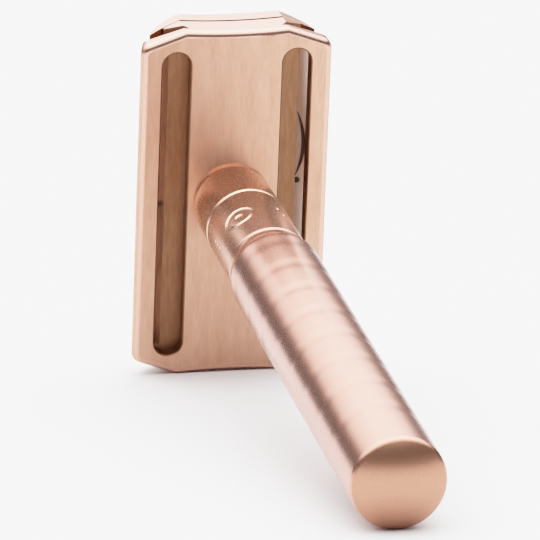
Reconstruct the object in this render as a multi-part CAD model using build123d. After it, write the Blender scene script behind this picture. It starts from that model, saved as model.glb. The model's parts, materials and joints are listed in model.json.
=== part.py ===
from build123d import *
import math
import os

# Safety razor with a three-piece head: a cap and a base plate clamp a double-edge blade, and the
# handle screws on to the cap's stud through the plate. Millimetres.
#
# Each piece is first built in head axes: X across the head, Y along the blade's edges, and Z along
# the handle, away from the head, with Z = 0 on the plate's face where the handle seats. The whole
# razor is then laid down as it rests on a table: on the two corners at the head's lower end and on
# the rim of the handle's tip. The table is Z = 0 and the origin is the middle of the footprint.

# --- head, seen along the handle ---
head_length = 44.0          # between the corners of its ends
plate_width = 23.3          # over the guard bars
end_flat_width = 12.5       # the middle of each end, between its two knees
end_hollow = 0.24           # how far the middle of each end curves in
corner_slant = 19.9         # degrees, from each knee to the long side
corner_round = 1.4
knee_round = 0.4

# --- head, levels below the plate's face ---
guard_top = 2.0             # how thick the guard bars are
bed_top = 4.2
bed_flat_width = 12.2       # the middle of the bed, before it curves down to the edges
bed_curve = 7.2             # radius of the curve that bends the blade
bed_width = 16.7
bed_undercut = 0.35         # how far the bed's sides lean in towards the slots' floor
face_round = 0.85           # round the plate's face
guard_lean = 0.45           # how far the guard bar's outer side leans in

# --- rinse slots ---
slot_spacing = 14.68        # between the two slots' middles
slot_width = 3.56
slot_length = 38.8
slot_depth = 1.85           # of the pocket in the plate's face
slot_bevel = 0.12
channel_length = 37.2       # of the opening beside the bed, up to the blade's edge

# --- notch at each corner, between guard and bed ---
notch_reach = 2.1           # along the head, from the knee's end
notch_root = (5.6, 1.4)     # half width and depth where it starts
notch_knee = (6.3, 2.4)     # half width and depth where it turns along the bed's curve
notch_side_depth = 3.5      # where it meets the bed's side
notch_mouth = 1.5           # from the guard's outer side to where it meets the guard's underside

# --- blade ---
blade_width = 22.0          # flat, before it is bent
blade_length = 42.8
blade_thickness = 0.1
blade_edge_length = 37.4
blade_tab_width = 13.0
blade_slit_width = 1.8
blade_gap = 0.1             # above and below the blade

# --- cap ---
cap_top = 6.8
cap_flat_width = 10.0
cap_edge_width = 20.2
cap_lip = 0.15              # thickness at its two long edges
cap_side_clearance = 0.03   # its ends stand this much inside the plate's

# --- stud, locating pins, brass insert ---
thread_diameter = 5.0
thread_pitch = 0.8
thread_depth = 0.43
stud_seat_depth = 1.4       # in the cap
stud_reach = 7.6            # into the handle
stud_tip_bevel = 0.5
thread_crest = 0.16         # left flat between two grooves
running_clearance = 0.05    # radial, stud and pins in the plate, stud in the insert
blade_clearance = 0.15      # radial, stud and pins in the blade
pin_diameter = 2.6
pin_spacing = 28.4
pin_depth = 2.6             # into the plate
pin_hole_spare = 0.3
pin_seat_depth = 1.2        # in the cap
pin_bevel = 0.3
insert_diameter = 7.0
insert_length = 9.0
insert_start = 0.8          # below the handle's shoulder
insert_bevel = 0.3

# --- handle ---
handle_length = 89.3
shoulder_bevel = 0.45
shoulder_gap = 0.02         # between the handle's shoulder and the plate
shoulder_diameter = 9.6
neck_diameter = 9.9
grip_diameter = 11.0
line_positions = (8.75, 21.75)   # the two fine grooves round the neck
line_width = 0.6
line_depth = 0.22
flare_start = 22.5
flare_length = 2.6
ring_count = 8
first_ring = 27.0
ring_pitch = 7.25
ring_width = 3.7
ring_depth = 0.04
tip_round = 1.0
tip_crown = 8.5             # radius of the domed end
bore_spare = 1.5            # drilled past the insert

cut_spare = 1.0             # how far a cutter runs past what it cuts

end_half = head_length / 2
knee_half = end_flat_width / 2
guard_half = plate_width / 2
bed_half = bed_width / 2
bed_flat_half = bed_flat_width / 2
bed_centre = bed_curve - bed_top                 # the curve's centre, this far above the face
grip_half = grip_diameter / 2
tip_centre = grip_half - tip_round               # of the tip's rounding, from the axis
tip_level = handle_length - tip_crown + math.sqrt((tip_crown - tip_round)**2 - tip_centre**2)


def corner_y(x, inset=0.0):
    """Where the slanted corner line is at a given half width."""
    return end_half - inset - (x - knee_half) * math.tan(math.radians(corner_slant))


def head_outline(half, inset=0.0):
    """The head's outline seen along the handle, as a face."""
    end = end_half - inset
    side = corner_y(half, inset)
    edges = []
    for s in (1, -1):
        edges.append(ThreePointArc((-knee_half, s * end), (0, s * (end - end_hollow)), (knee_half, s * end)))
        edges.append(Line((knee_half, s * end), (half, s * side)))
        edges.append(Line((-knee_half, s * end), (-half, s * side)))
        edges.append(Line((s * half, side), (s * half, -side)))
    return make_face(edges)


def head_prism(half, top, bottom, inset=0.0):
    """The outline as a solid from one depth to another, its upright edges rounded."""
    body = Pos(0, 0, -bottom) * extrude(head_outline(half, inset), bottom - top)
    between = (knee_half + half) / 2
    knees = body.edges().filter_by(Axis.Z).filter_by(lambda e: abs(e.center().X) < between)
    body = fillet(knees, knee_round)
    corners = body.edges().filter_by(Axis.Z).filter_by(lambda e: abs(e.center().X) > between)
    return fillet(corners, corner_round)


def along_head(profile, length):
    """A profile drawn in X and depth, run along the head's length about its middle."""
    face = Plane.XZ * make_face(profile)
    return Pos(0, length / 2, 0) * extrude(face, length)


def bent_strip(lower, upper, half):
    """The profile between two depths over the bed: flat in the middle and curved to each side.

    half is the half width to which both curves are drawn.
    """
    edges = []
    for level in (lower, upper):
        radius = level + bed_centre
        edges.append(Line((-bed_flat_half, -level), (bed_flat_half, -level)))
        for s in (1, -1):
            edges.append(strip_side(radius, s, half))
    for s in (1, -1):
        ends = [strip_side(level + bed_centre, s, half) @ 1 for level in (lower, upper)]
        edges.append(Line(*ends))
    return edges


def strip_side(radius, side, half):
    """One side's curve, from the flat middle out to a half width."""
    turn = math.asin((half - bed_flat_half) / radius)
    points = [(side * (bed_flat_half + radius * math.sin(a)), bed_centre - radius * math.cos(a))
              for a in (0, turn / 2, turn)]
    return ThreePointArc(*points)


def polygon(points):
    return Polyline(*points, close=True)


def make_base_plate():
    half = guard_half
    past = half + cut_spare
    under_guard = -guard_top - cut_spare
    over_bed = -bed_top - cut_spare
    body = head_prism(half, 0, bed_top)
    body = fillet(body.faces().sort_by(Axis.Z)[-1].edges(), face_round)
    # the bed's curved top, and the lower guard bars beside it
    over = along_head(bent_strip(bed_top, bed_top + bed_flat_width, bed_half), 2 * head_length)
    keep = along_head([polygon([(-half, 0), (half, 0), (half, -guard_top), (bed_half, -guard_top),
                                (bed_half, -bed_top), (-bed_half, -bed_top),
                                (-bed_half, -guard_top), (-half, -guard_top)])], 2 * head_length)
    body = (body & keep) - over
    for s in (1, -1):
        lean = [(s * half, -face_round), (s * past, -face_round), (s * past, under_guard),
                (s * (half - guard_lean), under_guard), (s * (half - guard_lean), -guard_top)]
        body -= along_head([polygon(lean)], 2 * head_length)
        # rinse slot: a pocket from the face, opened beside the bed by a narrower channel
        middle = Pos(s * slot_spacing / 2, 0, 0)
        pocket = extrude(SlotOverall(slot_length, slot_width, rotation=90), slot_depth)
        body -= middle * Pos(0, 0, -slot_depth) * pocket
        mouth = SlotOverall(slot_length + 2 * slot_bevel, slot_width + 2 * slot_bevel, rotation=90)
        body -= middle * extrude(mouth, slot_bevel, dir=(0, 0, -1), taper=45)
        outer = slot_spacing / 2 + slot_width / 2
        channel = [(s * (bed_half - bed_undercut), -slot_depth), (s * outer, -slot_depth),
                   (s * outer, over_bed), (s * bed_half, over_bed), (s * bed_half, -bed_top)]
        body -= along_head([polygon(channel)], channel_length)
        notch = [notch_root, notch_knee, (bed_half, notch_side_depth), (bed_half, -over_bed),
                 (past, -over_bed), (past, guard_top), (half - notch_mouth, guard_top)]
        cut = along_head([polygon([(s * x, -depth) for x, depth in notch])], notch_reach)
        for e in (1, -1):
            body -= Pos(0, e * (end_half - notch_reach / 2), 0) * cut
    body -= Cylinder(thread_diameter / 2 + running_clearance, 3 * bed_top)
    hole = pin_depth + pin_hole_spare
    for e in (1, -1):
        body -= Pos(0, e * pin_spacing / 2, -bed_top + hole / 2) * Cylinder(
            pin_diameter / 2 + running_clearance, hole)
    return body


def blade_level():
    return bed_top + blade_gap


def cap_level():
    return blade_level() + blade_thickness + blade_gap


def make_blade():
    radius = blade_level() + blade_thickness / 2 + bed_centre
    arc = blade_width / 2 - bed_flat_half
    half = bed_flat_half + radius * math.sin(arc / radius)
    strip = along_head(bent_strip(blade_level(), blade_level() + blade_thickness, half), blade_length)
    plan = Rectangle(2 * (half + cut_spare), blade_edge_length) + Rectangle(blade_tab_width, blade_length)
    plan -= Rectangle(blade_slit_width, pin_spacing)
    plan -= Circle(thread_diameter / 2 + blade_clearance)
    for e in (1, -1):
        plan -= Pos(0, e * pin_spacing / 2) * Circle(pin_diameter / 2 + blade_clearance)
    return strip & Pos(0, 0, -2 * bed_top) * extrude(plan, 2 * bed_top)


def make_cap():
    half = cap_edge_width / 2
    under = cap_level() + bed_centre
    edge_depth = math.sqrt(under**2 - (half - bed_flat_half)**2) - bed_centre
    lip = edge_depth + cap_lip
    flat = cap_flat_width / 2
    edges = [Line((-flat, -cap_top), (flat, -cap_top)),
             Line((-bed_flat_half, -cap_level()), (bed_flat_half, -cap_level()))]
    # the crown's side curve leaves the flat top smoothly and ends at the lip
    drop = cap_top - lip
    crown = ((half - flat)**2 + drop**2) / (2 * drop)
    turn = math.asin((half - flat) / crown)
    for s in (1, -1):
        points = [(s * (flat + crown * math.sin(a)), -cap_top + crown * (1 - math.cos(a)))
                  for a in (0, turn / 2, turn)]
        edges.append(ThreePointArc(*points))
        edges.append(Line(points[-1], (s * half, -edge_depth)))
        edges.append(strip_side(under, s, half))
    body = along_head(edges, head_length) & head_prism(guard_half, 0, 2 * cap_top, cap_side_clearance)
    body -= Pos(0, 0, -cap_level() - stud_seat_depth / 2) * Cylinder(thread_diameter / 2, stud_seat_depth)
    for e in (1, -1):
        body -= Pos(0, e * pin_spacing / 2, -cap_level() - pin_seat_depth / 2) * Cylinder(
            pin_diameter / 2, pin_seat_depth)
    return body


def turned(points):
    """A solid turned about the handle's axis from (radius, height) points."""
    return revolve(Plane.XZ * make_face(Polyline(*points, close=True)), Axis.Z)


def make_stud():
    radius = thread_diameter / 2
    start = -cap_level() - stud_seat_depth
    thread_from = -cap_level() + thread_pitch
    points = [(0, start), (radius, start)]
    count = int((stud_reach - stud_tip_bevel - thread_from) / thread_pitch)
    for n in range(count):
        z = thread_from + n * thread_pitch
        points += [(radius, z + thread_crest / 2), (radius - thread_depth, z + thread_pitch / 2),
                   (radius, z + thread_pitch - thread_crest / 2)]
    points += [(radius, stud_reach - stud_tip_bevel), (radius - stud_tip_bevel, stud_reach), (0, stud_reach)]
    return turned(points)


def make_pins():
    start = -cap_level() - pin_seat_depth
    end = -bed_top + pin_depth
    pin = Pos(0, 0, (start + end) / 2) * Cylinder(pin_diameter / 2, end - start)
    pin = chamfer(pin.edges().sort_by(Axis.Z)[-1], pin_bevel)
    return Compound([Pos(0, e * pin_spacing / 2, 0) * pin for e in (1, -1)])


def make_insert():
    outer = insert_diameter / 2
    inner = thread_diameter / 2 + running_clearance
    top = insert_start
    end = insert_start + insert_length
    b = insert_bevel
    return turned([(inner + b, top), (outer, top), (outer, end), (inner + b, end), (inner, end - b),
                   (inner, top + b)])


def make_handle():
    shoulder, neck, grip = shoulder_diameter / 2, neck_diameter / 2, grip_half
    bore = insert_diameter / 2
    start = shoulder_gap
    deep = insert_start + insert_length
    edges = []
    at = (shoulder, start + shoulder_bevel)
    edges.append(Line((shoulder - shoulder_bevel, start), at))

    def line_to(x, z):
        nonlocal at
        edges.append(Line(at, (x, z)))
        at = (x, z)

    def arc_to(through, end):
        nonlocal at
        edges.append(ThreePointArc(at, through, end))
        at = end

    for z in line_positions:
        line_to(neck, z - line_width / 2)
        line_to(neck - line_depth, z)
        line_to(neck, z + line_width / 2)
    line_to(neck, flare_start)
    # the flare's two arcs meet half way and leave both straights smoothly
    rise = grip - neck
    turn = 2 * math.atan(rise / flare_length)
    radius = flare_length / (2 * math.sin(turn))
    step, along = radius * (1 - math.cos(turn / 2)), radius * math.sin(turn / 2)
    flare_end = flare_start + flare_length
    arc_to((neck + step, flare_start + along), (neck + rise / 2, flare_start + flare_length / 2))
    arc_to((grip - step, flare_end - along), (grip, flare_end))
    for n in range(ring_count):
        middle = first_ring + n * ring_pitch
        if middle - ring_width / 2 > at[1]:
            line_to(grip, middle - ring_width / 2)
        arc_to((grip - ring_depth, middle), (grip, middle + ring_width / 2))
    line_to(grip, tip_level)
    # the rim's rounding runs on into the domed end
    lean = math.asin(tip_centre / (tip_crown - tip_round))
    half_way = (lean + math.pi / 2) / 2
    crown_centre = handle_length - tip_crown
    arc_to((tip_centre + tip_round * math.sin(half_way), tip_level + tip_round * math.cos(half_way)),
           (tip_crown * math.sin(lean), crown_centre + tip_crown * math.cos(lean)))
    arc_to((tip_crown * math.sin(lean / 2), crown_centre + tip_crown * math.cos(lean / 2)),
           (0, handle_length))
    line_to(0, deep + bore_spare + bore / 2)
    line_to(thread_diameter / 2, deep + bore_spare)
    line_to(thread_diameter / 2, deep)
    line_to(bore, deep)
    line_to(bore, start)
    line_to(shoulder - shoulder_bevel, start)
    return revolve(Plane.XZ * make_face(edges), Axis.Z)


def rest_tilt():
    """Degrees by which the handle points down when the razor lies on a table.

    It rests on two roundings: of the plate's face at the head's lower end, and of the handle's tip.
    """
    rise = end_half - face_round - tip_centre
    run = tip_level + face_round
    return math.degrees(math.atan2(rise, run) - math.asin((tip_round - face_round) / math.hypot(rise, run)))


def main():
    pieces = {
        "base_plate": make_base_plate(),
        "razor_blade": make_blade(),
        "top_cap": make_cap(),
        "threaded_stud": make_stud(),
        "locating_pins": make_pins(),
        "handle_insert": make_insert(),
        "handle": make_handle(),
    }
    lay = Rot(90 + rest_tilt(), 0, 0)
    laid = {name: lay * shape for name, shape in pieces.items()}
    box = Compound(list(laid.values())).bounding_box()
    middle = box.center()
    settle = Pos(-middle.X, -middle.Y, -box.min.Z)
    os.makedirs("parts", exist_ok=True)
    for name, shape in laid.items():
        export_step(settle * shape, os.path.join("parts", name + ".step"))


main()
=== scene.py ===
import json
import math

import bpy
from mathutils import Matrix, Vector


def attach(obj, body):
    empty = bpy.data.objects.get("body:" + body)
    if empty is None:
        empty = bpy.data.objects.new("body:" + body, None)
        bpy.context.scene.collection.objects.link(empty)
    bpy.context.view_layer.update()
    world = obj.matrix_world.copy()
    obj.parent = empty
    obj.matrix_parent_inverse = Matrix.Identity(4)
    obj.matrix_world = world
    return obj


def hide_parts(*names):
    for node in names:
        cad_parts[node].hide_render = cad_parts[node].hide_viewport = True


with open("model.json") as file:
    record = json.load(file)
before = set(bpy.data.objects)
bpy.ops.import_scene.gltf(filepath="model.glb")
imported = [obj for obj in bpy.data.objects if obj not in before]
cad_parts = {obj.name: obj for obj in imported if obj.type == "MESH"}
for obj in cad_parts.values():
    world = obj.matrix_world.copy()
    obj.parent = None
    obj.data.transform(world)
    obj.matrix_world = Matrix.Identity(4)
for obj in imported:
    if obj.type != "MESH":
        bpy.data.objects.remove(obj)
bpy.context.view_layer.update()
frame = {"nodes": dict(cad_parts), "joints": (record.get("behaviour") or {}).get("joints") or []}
nodes = frame["nodes"]
scene = bpy.context.scene
mm = 0.001

# the razor's own axes, in mm: x across the head, y along the blade, z down the handle from the plate's face
turnJoint = next(joint for joint in frame["joints"] if joint["name"] == "handle_turn")
seat = Vector(turnJoint["pos_m"])
handleAxis = Vector(turnJoint["axis"]).normalized()
bladeAxis = handleAxis.cross(Vector((1, 0, 0))).normalized()
place = Matrix((Vector((1, 0, 0)), bladeAxis, handleAxis)).transposed().to_4x4()
place.translation = seat
place = place @ Matrix.Scale(mm, 4)
toRazor = place.inverted()


# small helpers

def toLinear(hexColour):
    parts = [int(hexColour[i:i + 2], 16) / 255 for i in (1, 3, 5)]
    return [c / 12.92 if c <= 0.04045 else ((c + 0.055) / 1.055) ** 2.4 for c in parts] + [1.0]


def addNode(tree, kind, links=None, values=None, **settings):
    node = tree.nodes.new(kind)
    for name, value in settings.items():
        setattr(node, name, value)
    for key, value in (values or {}).items():
        node.inputs[key].default_value = value
    for key, source in (links or {}).items():
        tree.links.new(source, node.inputs[key])
    return node


def selectOnly(piece):
    if bpy.context.object and bpy.context.object.mode != "OBJECT":
        bpy.ops.object.mode_set(mode="OBJECT")
    bpy.ops.object.select_all(action="DESELECT")
    piece.select_set(True)
    bpy.context.view_layer.objects.active = piece


def finishPiece(piece, sharpAngle=35, hasFlats=True):
    # back from the razor's own axes to the frame, with the place in the mesh
    selectOnly(piece)
    piece.matrix_world = place
    bpy.ops.object.transform_apply(location=True, rotation=True, scale=True)
    bpy.ops.object.shade_smooth_by_angle(angle=math.radians(sharpAngle))
    if hasFlats:
        # flat faces stay flat right up to their rounded edges
        even = piece.modifiers.new("evenNormals", "WEIGHTED_NORMAL")
        even.keep_sharp = True
        bpy.ops.object.modifier_apply(modifier=even.name)


def smoothStep(value, low, high):
    t = min(max((value - low) / (high - low), 0), 1)
    return t * t * (3 - 2 * t)


# materials

def metal(name, rough):
    mat = bpy.data.materials.new(name)
    mat.use_nodes = True
    tree = mat.node_tree
    shader = tree.nodes["Principled BSDF"]
    shader.inputs["Metallic"].default_value = 1
    shader.inputs["Roughness"].default_value = rough
    return mat, tree, shader


def razorPoint(tree):
    # the point being shaded, in mm on the razor's own axes
    where = addNode(tree, "ShaderNodeTexCoord")
    local = addNode(tree, "ShaderNodeMapping", {"Vector": where.outputs["Object"]},
                    {"Location": toRazor.translation, "Rotation": toRazor.to_euler(),
                     "Scale": toRazor.to_scale()})
    return local.outputs["Vector"]


def grain(tree, point, across, along, detail=3):
    # noise drawn out along the head: across and along are one grain's width and length in mm
    stretched = addNode(tree, "ShaderNodeMapping", {"Vector": point},
                        {"Scale": (1 / across, 1 / along, 1 / across)})
    noise = addNode(tree, "ShaderNodeTexNoise", {"Vector": stretched.outputs["Vector"]},
                    {"Scale": 1, "Detail": detail, "Roughness": 0.6})
    return noise.outputs["Fac"]


def spread(tree, factor, low, high, fromLow=0.3, fromHigh=0.7):
    # noise keeps mostly between 0.3 and 0.7, which is drawn out to the wanted range
    out = addNode(tree, "ShaderNodeMapRange", {"Value": factor},
                  {"From Min": fromLow, "From Max": fromHigh, "To Min": low, "To Max": high})
    return out.outputs["Result"]


def blendColour(tree, factor, first, second):
    # inputs 6 and 7 of a colour mix are its two colours, and output 2 is the mixed one
    mix = addNode(tree, "ShaderNodeMix", {"Factor": factor}, {6: toLinear(first), 7: toLinear(second)},
                  data_type="RGBA")
    return mix.outputs[2]


def bump(tree, shader, height, depth):
    # depth is the height of the relief in mm
    relief = addNode(tree, "ShaderNodeBump", {"Height": height}, {"Distance": depth * mm, "Strength": 1})
    tree.links.new(relief.outputs["Normal"], shader.inputs["Normal"])


# one anodising bath: each way of working the metal under it takes the colour a little differently. On top of
# that, the milled colours are darkened as painted shade for the recesses, the deep ones are lighter as
# painted light on faces seen through the slots, and the neck colours are painted light.
roseGold = {
    "brushedLight": "#CF9F87", "brushedDark": "#BC8A70",
    "satinLight": "#D9A592", "satinDark": "#CE9A87",
    "turnedLight": "#D09482", "turnedDark": "#C78A77",
    "facedLight": "#BB866E", "facedDark": "#B07A62",
    # painted light: the neck colours are lighter and more golden than the grip, for the light the neck
    # reflects near the head
    "paintedNeckLight": "#E6B49B", "paintedNeckDark": "#DCA88F",
    # painted shade: the milled colours are darkened for slot floors, notches and other recesses; painted
    # light: the deep colours are lighter for faces seen through the slots
    "shadedMilledLight": "#845D44", "shadedMilledDark": "#745039",
    "litDeepLight": "#BE845C", "litDeepDark": "#AE7550",
}


def brushedAluminium():
    # rose-gold anodised aluminium, brushed along the head: fine light and dark streaks
    brush = {"width": 0.14, "length": 2.0, "relief": 0.003, "rough": 0.36, "unevenness": 0.05,
             "patchWidth": 1.6, "patchLength": 9.0, "toneFrom": 0.7, "toneTo": 1.3}
    mat, tree, shader = metal("brushed anodised aluminium", brush["rough"])
    point = razorPoint(tree)
    streaks = grain(tree, point, brush["width"], brush["length"])
    patches = grain(tree, point, brush["patchWidth"], brush["patchLength"], 2)
    both = addNode(tree, "ShaderNodeMath", {0: streaks, 1: patches}, operation="ADD")
    tone = spread(tree, both.outputs[0], 0, 1, brush["toneFrom"], brush["toneTo"])
    colour = blendColour(tree, tone, roseGold["brushedDark"], roseGold["brushedLight"])
    tree.links.new(colour, shader.inputs["Base Color"])
    rough = spread(tree, streaks, brush["rough"] + brush["unevenness"], brush["rough"] - brush["unevenness"])
    tree.links.new(rough, shader.inputs["Roughness"])
    bump(tree, shader, streaks, brush["relief"])
    return mat


def satinAluminium():
    # the same metal bead-blasted before anodising: end walls and rounded edges, even and soft
    blast = {"size": 0.12, "relief": 0.0015, "rough": 0.24}
    mat, tree, shader = metal("satin anodised aluminium", blast["rough"])
    point = razorPoint(tree)
    pits = grain(tree, point, blast["size"], blast["size"], 2)
    colour = blendColour(tree, spread(tree, pits, 0, 1), roseGold["satinDark"], roseGold["satinLight"])
    tree.links.new(colour, shader.inputs["Base Color"])
    bump(tree, shader, pits, blast["relief"])
    return mat


def milledAluminium(name, light, dark):
    # left as the cutter made it under the anodising: rougher, with faint cutter marks, and darker as painted
    # shade in the recesses; the lighter colours given for the deep faces are painted light
    cutter = {"pitch": 0.35, "markLength": 2.4, "relief": 0.002, "rough": 0.42}
    mat, tree, shader = metal(name, cutter["rough"])
    point = razorPoint(tree)
    marks = grain(tree, point, cutter["pitch"], cutter["markLength"], 2)
    tree.links.new(blendColour(tree, spread(tree, marks, 0, 1), dark, light), shader.inputs["Base Color"])
    bump(tree, shader, marks, cutter["relief"])
    return mat


def turnedAluminium(name, light, dark, rough):
    # turned, then blasted to a fine satin: a soft grain and blurred reflections
    # the neck is painted a little lighter and more golden than the grip, with no sharp line between: painted
    # light standing in for the light the neck reflects near the head
    finish = {"grain": 0.16, "unevenness": 0.012, "neckTo": 15.0, "gripFrom": 26.0}
    mat, tree, shader = metal(name, rough)
    point = razorPoint(tree)
    fine = grain(tree, point, finish["grain"], finish["grain"])
    grainy = spread(tree, fine, 0, 1)
    paintedNeckColour = blendColour(tree, grainy, roseGold["paintedNeckDark"], roseGold["paintedNeckLight"])
    ownColour = blendColour(tree, grainy, dark, light)
    axes = addNode(tree, "ShaderNodeSeparateXYZ", {"Vector": point})
    pastPaintedNeck = spread(tree, axes.outputs["Z"], 0, 1, finish["neckTo"], finish["gripFrom"])
    colour = addNode(tree, "ShaderNodeMix", {"Factor": pastPaintedNeck, 6: paintedNeckColour, 7: ownColour}, data_type="RGBA")
    tree.links.new(colour.outputs[2], shader.inputs["Base Color"])
    uneven = spread(tree, fine, rough - finish["unevenness"], rough + finish["unevenness"])
    tree.links.new(uneven, shader.inputs["Roughness"])
    return mat


def distanceFrom(tree, flatPoint, centre):
    node = addNode(tree, "ShaderNodeVectorMath", {0: flatPoint}, {1: (centre[0], centre[1], 0)},
                   operation="DISTANCE")
    return node.outputs["Value"]


def bladeSteel():
    # rolled stainless strip: cool and smooth, ground lighter at the edges, a plain printed mark by each edge
    mark = {"centre": (0.62, 5.86), "radius": 8.91, "hollowCentre": (-4.44, 5.86), "hollowRadius": 13.51,
            "dot": (8.68, 1.2), "dotRadius": 0.38, "blur": 0.05}
    strip = {"rough": 0.3, "edgeFrom": 9.9, "edgeBlur": 0.03, "dark": "#B3A398", "light": "#C4B5AB",
             "ground": "#CBC4BF", "ink": "#17130F", "lineWidth": 0.12, "lineLength": 4.0, "relief": 0.0008}
    mat, tree, shader = metal("rolled and ground blade steel", strip["rough"])
    point = razorPoint(tree)
    axes = addNode(tree, "ShaderNodeSeparateXYZ", {"Vector": point})
    # the strip looks the same turned half way round, so the far half is turned on to the near one
    side = addNode(tree, "ShaderNodeMath", {0: axes.outputs["X"]}, operation="SIGN")
    across = addNode(tree, "ShaderNodeMath", {0: axes.outputs["X"]}, operation="ABSOLUTE")
    along = addNode(tree, "ShaderNodeMath", {0: axes.outputs["Y"], 1: side.outputs[0]}, operation="MULTIPLY")
    flat = addNode(tree, "ShaderNodeCombineXYZ", {"X": across.outputs[0], "Y": along.outputs[0]})
    flatPoint = flat.outputs["Vector"]
    blur = mark["blur"]
    disc = distanceFrom(tree, flatPoint, mark["centre"])
    hollow = distanceFrom(tree, flatPoint, mark["hollowCentre"])
    dot = distanceFrom(tree, flatPoint, mark["dot"])
    inside = spread(tree, disc, 1, 0, mark["radius"] - blur, mark["radius"] + blur)
    outside = spread(tree, hollow, 0, 1, mark["hollowRadius"] - blur, mark["hollowRadius"] + blur)
    crescent = addNode(tree, "ShaderNodeMath", {0: inside, 1: outside}, operation="MULTIPLY")
    spot = spread(tree, dot, 1, 0, mark["dotRadius"] - blur, mark["dotRadius"] + blur)
    ink = addNode(tree, "ShaderNodeMath", {0: crescent.outputs[0], 1: spot}, operation="MAXIMUM")
    rolled = grain(tree, point, strip["lineWidth"], strip["lineLength"])
    ground = spread(tree, across.outputs[0], 0, 1, strip["edgeFrom"] - strip["edgeBlur"],
                    strip["edgeFrom"] + strip["edgeBlur"])
    sheet = blendColour(tree, spread(tree, rolled, 0, 1), strip["dark"], strip["light"])
    plain = addNode(tree, "ShaderNodeMix", {"Factor": ground, 6: sheet}, {7: toLinear(strip["ground"])},
                    data_type="RGBA")
    printed = addNode(tree, "ShaderNodeMix", {"Factor": ink.outputs[0], 6: plain.outputs[2]},
                      {7: toLinear(strip["ink"])}, data_type="RGBA")
    tree.links.new(printed.outputs[2], shader.inputs["Base Color"])
    # the print is paint, so it isn't metal
    tree.links.new(spread(tree, ink.outputs[0], 1, 0, 0, 1), shader.inputs["Metallic"])
    bump(tree, shader, rolled, strip["relief"])
    return mat


def machinedMetal(name, first, second, rough, lineWidth):
    # bar stock turned on a lathe: fine rings round the part
    lathe = {"across": 5.0, "relief": 0.002}
    mat, tree, shader = metal(name, rough)
    point = razorPoint(tree)
    squeezed = addNode(tree, "ShaderNodeMapping", {"Vector": point},
                       {"Scale": (1 / lathe["across"], 1 / lathe["across"], 1 / lineWidth)})
    lines = addNode(tree, "ShaderNodeTexNoise", {"Vector": squeezed.outputs["Vector"]},
                    {"Scale": 1, "Detail": 2, "Roughness": 0.5})
    colour = blendColour(tree, spread(tree, lines.outputs["Fac"], 0, 1), first, second)
    tree.links.new(colour, shader.inputs["Base Color"])
    bump(tree, shader, lines.outputs["Fac"], lathe["relief"])
    return mat


brushed = brushedAluminium()
satin = satinAluminium()
# the milled colours are painted shade for the recesses, and the deep colours painted light on faces seen
# through the slots
shadedMilled = milledAluminium("milled anodised aluminium with painted shade", roseGold["shadedMilledLight"], roseGold["shadedMilledDark"])
deep = milledAluminium("bright milled anodised aluminium with painted shade", roseGold["litDeepLight"], roseGold["litDeepDark"])
turned = turnedAluminium("turned satin anodised aluminium", roseGold["turnedLight"],
                         roseGold["turnedDark"], 0.27)
faced = turnedAluminium("faced satin anodised aluminium", roseGold["facedLight"],
                        roseGold["facedDark"], 0.32)
steelStrip = bladeSteel()
studSteel = machinedMetal("machined stainless steel", "#A8A7A6", "#C6C4C2", 0.26, 0.08)
brass = machinedMetal("machined brass", "#B98F45", "#D5AC60", 0.26, 0.1)
print("materials ready")


# the head keeps the CAD pieces' shapes, with their sharp edges broken and a finish for each kind of face,
# some darkened as painted shade and some lightened as painted light

edgeBreak = {"plate": 0.06, "cap": 0.07, "steps": 2, "sharpAngle": 32, "flatAngle": 0.3,
             "mergeWithin": 0.0005, "levelWithin": 0.01,
             "plateSeam": -4.2, "capSeam": -4.5, "seamFrom": 20, "seamRelief": 0.22}
headShape = {"halfLength": 22.0, "kneeHalf": 6.25, "slantDegrees": 19.9, "plateHalf": 11.65,
             "slotHalfLength": 19.5, "slotInner": 5.4, "slotOuter": 9.3, "channelFrom": 1.9,
             "faceRound": 0.85, "faceWithin": 0.02}
# how far a face's normal has to lean to one side before the face counts as facing that way
facing = {"face": 0.995, "wall": 0.5, "side": 0.6, "capEnd": 0.6, "capLevel": 0.2}
headFinishes = {"brushed": brushed, "satin": satin, "shadedMilled": shadedMilled, "deep": deep}


def copyNode(nodeName, pieceName):
    piece = bpy.data.objects.new(pieceName, nodes[nodeName].data.copy())
    piece.data.name = pieceName
    scene.collection.objects.link(piece)
    piece.data.materials.clear()
    piece.data.transform(toRazor)
    selectOnly(piece)
    bpy.ops.object.mode_set(mode="EDIT")
    bpy.ops.mesh.select_mode(type="EDGE")
    bpy.ops.mesh.select_all(action="SELECT")
    bpy.ops.mesh.remove_doubles(threshold=edgeBreak["mergeWithin"])
    bpy.ops.mesh.select_all(action="SELECT")
    bpy.ops.mesh.dissolve_limited(angle_limit=math.radians(edgeBreak["flatAngle"]))
    bpy.ops.object.mode_set(mode="OBJECT")
    return piece


def giveFinishes(piece, finishes, chooseFinish):
    for mat in finishes.values():
        piece.data.materials.append(mat)
    order = list(finishes)
    for face in piece.data.polygons:
        face.material_index = order.index(chooseFinish(face.center, face.normal))


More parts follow.
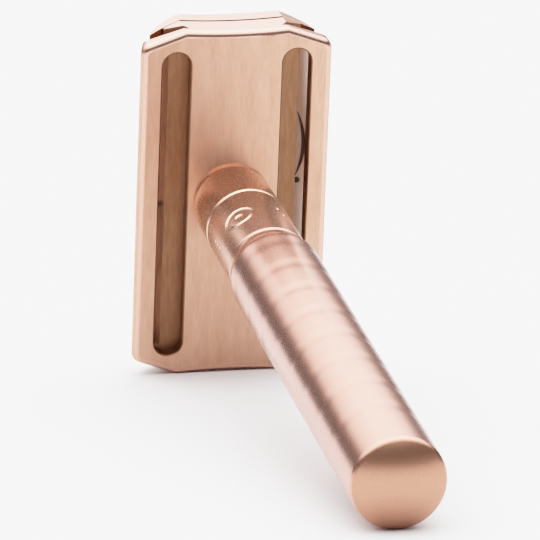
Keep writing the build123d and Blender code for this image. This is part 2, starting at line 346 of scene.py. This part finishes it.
def breakEdges(piece, width, seamLevel):
    # the two edges that face each other across the seam between plate and cap stay crisp
    selectOnly(piece)
    bpy.ops.object.mode_set(mode="EDIT")
    bpy.ops.mesh.select_mode(type="EDGE")
    bpy.ops.mesh.select_all(action="DESELECT")
    bpy.ops.mesh.edges_select_sharp(sharpness=math.radians(edgeBreak["sharpAngle"]))
    bpy.ops.object.mode_set(mode="OBJECT")
    for edge in piece.data.edges:
        ends = [piece.data.vertices[number].co for number in edge.vertices]
        if all(abs(end.z - seamLevel) < edgeBreak["levelWithin"] and abs(end.y) > edgeBreak["seamFrom"]
               for end in ends):
            edge.select = False
    bpy.ops.object.mode_set(mode="EDIT")
    bpy.ops.mesh.bevel(offset=width, segments=edgeBreak["steps"], affect="EDGES", clamp_overlap=True,
                       material=list(headFinishes).index("satin"))
    bpy.ops.object.mode_set(mode="OBJECT")


def relieveSeam(piece):
    # between its knees the plate's end is cut back a little under the cap, which leaves a dark line
    for vertex in piece.data.vertices:
        co = vertex.co
        onEnd = abs(co.y) > edgeBreak["seamFrom"] and abs(co.x) < headShape["kneeHalf"] + edgeBreak["plate"]
        if onEnd and abs(co.z - edgeBreak["plateSeam"]) < edgeBreak["levelWithin"]:
            co.z += edgeBreak["seamRelief"]


def endReach(x):
    # how far along the head the end wall stands at this half width
    slant = math.tan(math.radians(headShape["slantDegrees"]))
    return headShape["halfLength"] - max(0, abs(x) - headShape["kneeHalf"]) * slant


def plateFinish(centre, normal):
    # the face and the long sides are brushed, the ends and rounded edges satin, and the rest as milled and
    # darkened as painted shade, with painted light making the walls of the channels behind the slots brighter
    if normal.z > facing["face"] and centre.z > -headShape["faceWithin"]:
        return "brushed"
    inSlot = (headShape["slotInner"] < abs(centre.x) < headShape["slotOuter"]
              and abs(centre.y) < headShape["slotHalfLength"])
    rounding = headShape["faceRound"]
    onEnd = abs(centre.y) > endReach(centre.x) - rounding and abs(normal.y) > facing["wall"]
    onSide = abs(centre.x) > headShape["plateHalf"] - rounding and abs(normal.x) > facing["wall"]
    onRounding = centre.z > -rounding and normal.z > 0
    if not inSlot and (onEnd or onSide or onRounding):
        return "brushed" if abs(normal.x) > facing["side"] else "satin"
    inChannel = centre.z < -headShape["channelFrom"] and abs(normal.z) < facing["wall"]
    return "deep" if inChannel else "shadedMilled"


def capFinish(centre, normal):
    # brushed on top, satin on the ends, and as milled elsewhere, darkened as painted shade, with painted
    # light making it brighter over the slots
    if normal.z > facing["capLevel"]:
        return "shadedMilled" if abs(centre.x) < headShape["slotInner"] else "deep"
    if abs(normal.y) > facing["capEnd"] and abs(centre.y) > endReach(centre.x) - headShape["faceRound"]:
        return "satin"
    return "brushed" if normal.z < -facing["capLevel"] else "shadedMilled"


headPlate = copyNode("base_plate", "headPlate")
giveFinishes(headPlate, headFinishes, plateFinish)
breakEdges(headPlate, edgeBreak["plate"], edgeBreak["plateSeam"])
relieveSeam(headPlate)
finishPiece(headPlate)
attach(headPlate, "base_plate")
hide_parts("base_plate")

headCap = copyNode("top_cap", "headCap")
giveFinishes(headCap, headFinishes, capFinish)
breakEdges(headCap, edgeBreak["cap"], edgeBreak["capSeam"])
finishPiece(headCap)
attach(headCap, "cap")
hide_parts("top_cap")

blade = copyNode("razor_blade", "doubleEdgeBlade")
blade.data.materials.append(steelStrip)
finishPiece(blade)
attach(blade, "blade")
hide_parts("razor_blade")
print("head pieces ready")


# the handle is turned round its own axis

def drawProfile(name, points):
    # a plane is merged to one point, which is extruded from point to point: (radius, level) in mm
    bpy.ops.object.select_all(action="DESELECT")
    bpy.ops.mesh.primitive_plane_add(size=1, location=(0, 0, 0))
    piece = bpy.context.object
    piece.name = piece.data.name = name
    bpy.ops.object.mode_set(mode="EDIT")
    bpy.ops.mesh.select_mode(type="VERT")
    bpy.ops.mesh.select_all(action="SELECT")
    bpy.ops.mesh.merge(type="CENTER")
    last = Vector((0, 0, 0))
    for number, (radius, level) in enumerate(points):
        step = Vector((radius, 0, level)) - last
        if number == 0:
            bpy.ops.transform.translate(value=step)
        else:
            bpy.ops.mesh.extrude_region_move(TRANSFORM_OT_translate={"value": step})
        last += step
    return piece


def spinProfile(piece, segments):
    bpy.ops.mesh.select_all(action="SELECT")
    bpy.ops.mesh.spin(steps=segments, angle=2 * math.pi, center=(0, 0, 0), axis=(0, 0, 1))
    bpy.ops.mesh.select_all(action="SELECT")
    bpy.ops.mesh.remove_doubles(threshold=handleShape["mergeWithin"])
    bpy.ops.mesh.normals_make_consistent(inside=False)
    bpy.ops.object.mode_set(mode="OBJECT")


handleShape = {"start": 0.02, "shoulder": 4.8, "shoulderBevel": 0.45, "neck": 4.95, "grip": 5.5, "end": 89.3,
               "lines": (8.75, 21.75), "lineWidth": 0.6, "lineDepth": 0.22, "flare": (22.5, 25.1),
               "rings": 8, "firstRing": 27.0, "ringPitch": 7.25, "ringWidth": 3.7, "ringDepth": 0.032,
               "rimRound": 1.0, "crown": 8.5, "bore": 3.5, "boreEnd": 9.8, "tapHole": 2.5, "tapEnd": 11.3,
               "facedFrom": 0.6, "segments": 256, "tipSteps": 12, "lineStep": 0.05, "markStep": 0.1,
               "gripStep": 0.3, "mergeWithin": 0.0008}
markShape = {"angle": 123, "level": 15.55, "ring": 1.8, "ringWidth": 0.5, "dot": 0.55, "depth": 0.12,
             "edge": 0.1, "dots": ((62, 14.0), (56, 15.4), (176, 13.7), (176, 14.8), (176, 15.9)),
             "dotSize": 0.24, "fineWithin": 2.4, "reach": 2.6}


def handleRadius(level):
    s = handleShape
    if level < s["lines"][0]:
        rise = (level - s["start"]) / (s["lines"][0] - s["start"])
        radius = s["shoulder"] + (s["neck"] - s["shoulder"]) * rise
    else:
        radius = s["neck"] + (s["grip"] - s["neck"]) * smoothStep(level, *s["flare"])
    for line in s["lines"]:
        offset = abs(level - line) / (s["lineWidth"] / 2)
        if offset < 1:
            radius -= s["lineDepth"] * (1 - offset)
    for number in range(s["rings"]):
        offset = abs(level - s["firstRing"] - number * s["ringPitch"]) / (s["ringWidth"] / 2)
        if offset < 1:
            radius -= s["ringDepth"] * (0.5 + 0.5 * math.cos(math.pi * offset))
    return radius


def handleProfile():
    s = handleShape
    tipCentre = s["grip"] - s["rimRound"]
    tipLevel = s["end"] - s["crown"] + math.sqrt((s["crown"] - s["rimRound"]) ** 2 - tipCentre ** 2)
    # the drilled hole, the insert's bore and the shoulder, and then the outside down to the tip
    points = [(0, s["tapEnd"] + s["tapHole"]), (s["tapHole"], s["tapEnd"]), (s["tapHole"], s["boreEnd"]),
              (s["bore"], s["boreEnd"]), (s["bore"], s["start"]),
              (s["shoulder"] - s["shoulderBevel"], s["start"])]
    level = s["start"] + s["shoulderBevel"]
    while level < tipLevel:
        points.append((handleRadius(level), level))
        nearLine = min(abs(level - line) for line in s["lines"]) < s["lineWidth"]
        inMark = abs(level - markShape["level"]) < markShape["fineWithin"]
        level += s["lineStep"] if nearLine else s["markStep"] if inMark else s["gripStep"]
    lean = math.asin(tipCentre / (s["crown"] - s["rimRound"]))
    for step in range(s["tipSteps"] + 1):        # round the rim
        turn = math.pi / 2 + (lean - math.pi / 2) * step / s["tipSteps"]
        points.append((tipCentre + s["rimRound"] * math.sin(turn), tipLevel + s["rimRound"] * math.cos(turn)))
    for step in range(1, s["tipSteps"] + 1):     # and over the domed end
        turn = lean * (1 - step / s["tipSteps"])
        points.append((s["crown"] * math.sin(turn), s["end"] - s["crown"] + s["crown"] * math.cos(turn)))
    return points


def markDepth(angle, level):
    # a plain ring with a dot in it, and a few plain dots round the neck
    s = markShape
    x = math.radians(angle - s["angle"]) * handleShape["neck"]
    y = level - s["level"]
    away = math.hypot(x, y)
    near = max(s["ringWidth"] / 2 - abs(away - s["ring"]), s["dot"] - away)
    for dotAngle, dotLevel in s["dots"]:
        across = math.radians(angle - dotAngle) * handleShape["neck"]
        near = max(near, s["dotSize"] - math.hypot(across, level - dotLevel))
    return s["depth"] * smoothStep(near, 0, s["edge"])


def engraveMarks(piece):
    for vertex in piece.data.vertices:
        co = vertex.co
        radius = math.hypot(co.x, co.y)
        onOutside = radius > (handleShape["bore"] + handleShape["neck"]) / 2
        if onOutside and abs(co.z - markShape["level"]) < markShape["reach"]:
            depth = markDepth(math.degrees(math.atan2(co.y, co.x)) % 360, co.z)
            co.x *= (radius - depth) / radius
            co.y *= (radius - depth) / radius


def handleFinish(centre, normal):
    onEnd = normal.z > handleShape["facedFrom"] and centre.z > handleShape["end"] / 2
    return "faced" if onEnd else "turned"


handle = drawProfile("ringedHandle", handleProfile())
spinProfile(handle, handleShape["segments"])
engraveMarks(handle)
giveFinishes(handle, {"turned": turned, "faced": faced}, handleFinish)
finishPiece(handle, 50, hasFlats=False)
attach(handle, "handle")
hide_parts("handle")
print("handle ready")


# the stud, the pins and the insert lie mostly out of sight and keep the CAD's shapes; here they only get
# their materials
for nodeName, mat in (("threaded_stud", studSteel), ("locating_pins", studSteel), ("handle_insert", brass)):
    slots = nodes[nodeName].material_slots
    if not slots:
        nodes[nodeName].data.materials.append(mat)
    for materialSlot in nodes[nodeName].material_slots:
        materialSlot.material = mat


# floor and light

board = {"size": 8, "rough": 0.7, "gloss": 0.2, "toothPerMetre": 900, "dark": "#EDEDEE", "light": "#EFEFEF"}


def matteBoard():
    # matte white board: even and pale, with a faint paper tooth
    mat = bpy.data.materials.new("matte white board")
    mat.use_nodes = True
    tree = mat.node_tree
    shader = tree.nodes["Principled BSDF"]
    shader.inputs["Roughness"].default_value = board["rough"]
    shader.inputs["Specular IOR Level"].default_value = board["gloss"]
    where = addNode(tree, "ShaderNodeTexCoord")
    tooth = addNode(tree, "ShaderNodeTexNoise", {"Vector": where.outputs["Object"]},
                    {"Scale": board["toothPerMetre"], "Detail": 2})
    colour = blendColour(tree, spread(tree, tooth.outputs["Fac"], 0, 1), board["dark"], board["light"])
    tree.links.new(colour, shader.inputs["Base Color"])
    return mat


bpy.ops.object.select_all(action="DESELECT")
bpy.ops.mesh.primitive_plane_add(size=board["size"], location=(0, 0, 0))
floor = bpy.context.object
floor.name = "floor"
floor.data.materials.append(matteBoard())

# a dim room with a wide diffuser overhead: all that lies above a plane tilted to the front is bright,
# and it grows brighter toward the top
studio = {"room": 0.22, "edge": 2.85, "rise": 4.4, "lift": 0.22, "from": 0.519, "softness": 0.05,
          "colour": "#FDFDFF"}


def studioLight():
    world = bpy.data.worlds.new("studio")
    scene.world = world
    world.use_nodes = True
    tree = world.node_tree
    toward = addNode(tree, "ShaderNodeTexCoord")
    axes = addNode(tree, "ShaderNodeSeparateXYZ", {"Vector": toward.outputs["Generated"]})
    tilted = addNode(tree, "ShaderNodeMath", {0: axes.outputs["Y"], 2: axes.outputs["Z"]},
                     {1: studio["lift"]}, operation="MULTIPLY_ADD")
    opened = addNode(tree, "ShaderNodeMapRange", {"Value": tilted.outputs[0]},
                     {"From Min": studio["from"] - studio["softness"],
                      "From Max": studio["from"] + studio["softness"]}, interpolation_type="SMOOTHSTEP")
    glow = addNode(tree, "ShaderNodeMapRange", {"Value": tilted.outputs[0]},
                   {"From Min": studio["from"], "From Max": 1, "To Min": studio["edge"],
                    "To Max": studio["edge"] + studio["rise"]})
    strength = addNode(tree, "ShaderNodeMix", {0: opened.outputs["Result"], 3: glow.outputs["Result"]},
                       {2: studio["room"]}, data_type="FLOAT")
    background = tree.nodes["Background"]
    background.inputs["Color"].default_value = toLinear(studio["colour"])
    tree.links.new(strength.outputs[0], background.inputs["Strength"])


studioLight()


# a shoulder like a camera's, so bright metal goes pale instead of clipping

picture = {"white": 0.955, "range": 6.0, "steps": 24}


def cameraResponse():
    view = scene.view_settings
    view.view_transform = "Standard"
    view.use_curve_mapping = True
    mapping = view.curve_mapping
    mapping.white_level = (picture["range"],) * 3
    curve = mapping.curves[3]
    white = picture["white"]
    for step in range(picture["steps"] + 1):
        x = (step / picture["steps"]) ** 2
        y = white * (1 - math.exp(-x * picture["range"] / white))
        if step in (0, picture["steps"]):
            curve.points[min(step, 1)].location = (x, y)
        else:
            curve.points.new(x, y)
    mapping.update()


cameraResponse()

# seen from above the head's left side, a long lens, with the whole head and handle in the square
lens = {"from": (-174.03, -771.6, 169.93), "at": (0.0, 17.73, 17.1), "focal": 466.7, "sensor": 36,
        "roll": -0.226, "nearest": 10}
cameraData = bpy.data.cameras.new("camera")
camera = bpy.data.objects.new("camera", cameraData)
scene.collection.objects.link(camera)
scene.camera = camera
camera.location = Vector(lens["from"]) * mm
cameraData.sensor_width = lens["sensor"]
cameraData.lens = lens["focal"]
cameraData.clip_start = lens["nearest"] * mm
look = (Vector(lens["at"]) - Vector(lens["from"])).to_track_quat("-Z", "Y").to_matrix()
camera.rotation_euler = (look @ Matrix.Rotation(math.radians(lens["roll"]), 3, "Z")).to_euler()
print("studio ready")
